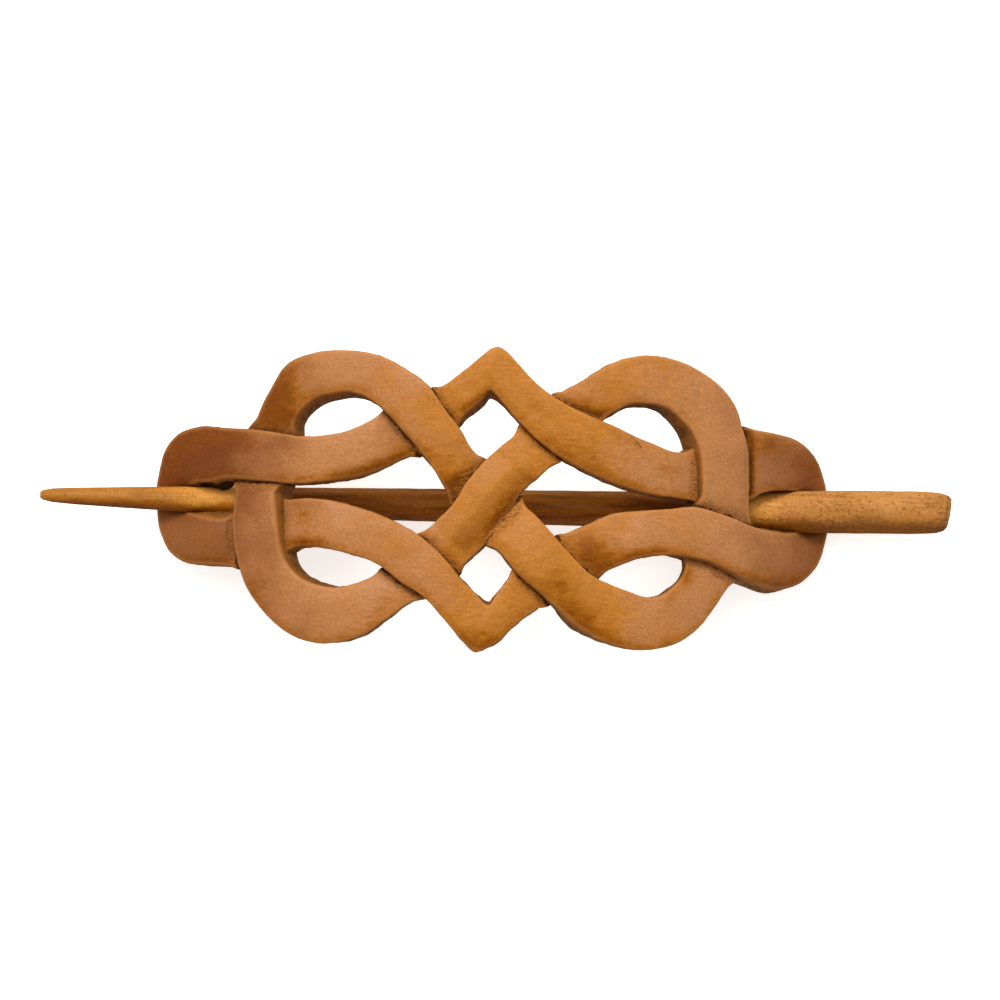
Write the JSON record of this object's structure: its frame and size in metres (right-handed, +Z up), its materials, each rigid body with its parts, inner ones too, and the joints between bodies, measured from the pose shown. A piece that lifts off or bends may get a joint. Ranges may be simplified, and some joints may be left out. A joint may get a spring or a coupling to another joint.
{
  "type": "wooden barrette",
  "caption": "Arched wooden hair slide pierced and carved as a two-strand interlace knot, with a tapered wooden stick that passes over its end bars and under its middle.",
  "frame": {"origin": "on the table under the middle of the stick, at the bottom centre of the whole barrette", "axes": "+X along the stick towards its thick end, +Y across the slide towards the pointed tip that is further from a viewer, +Z up out of the arch"},
  "size_m": [0.15, 0.0495, 0.0246],
  "materials": {
    "carved_wood": "hand-carved, rubbed with oil to a soft sheen, darker in the cuts and at the ends",
    "stick_wood": "whittled and rubbed with oil, golden, with dark flecks"
  },
  "bodies": {
    "slide": {"carved_slide": "carved_wood"},
    "stick": {"hair_stick": "stick_wood"}
  },
  "joints": [
    {"name": "stick_slide", "type": "slide", "parent": "slide", "child": "stick", "axis": [1, 0, 0], "range_m": [0, 0.13]}
  ]
}
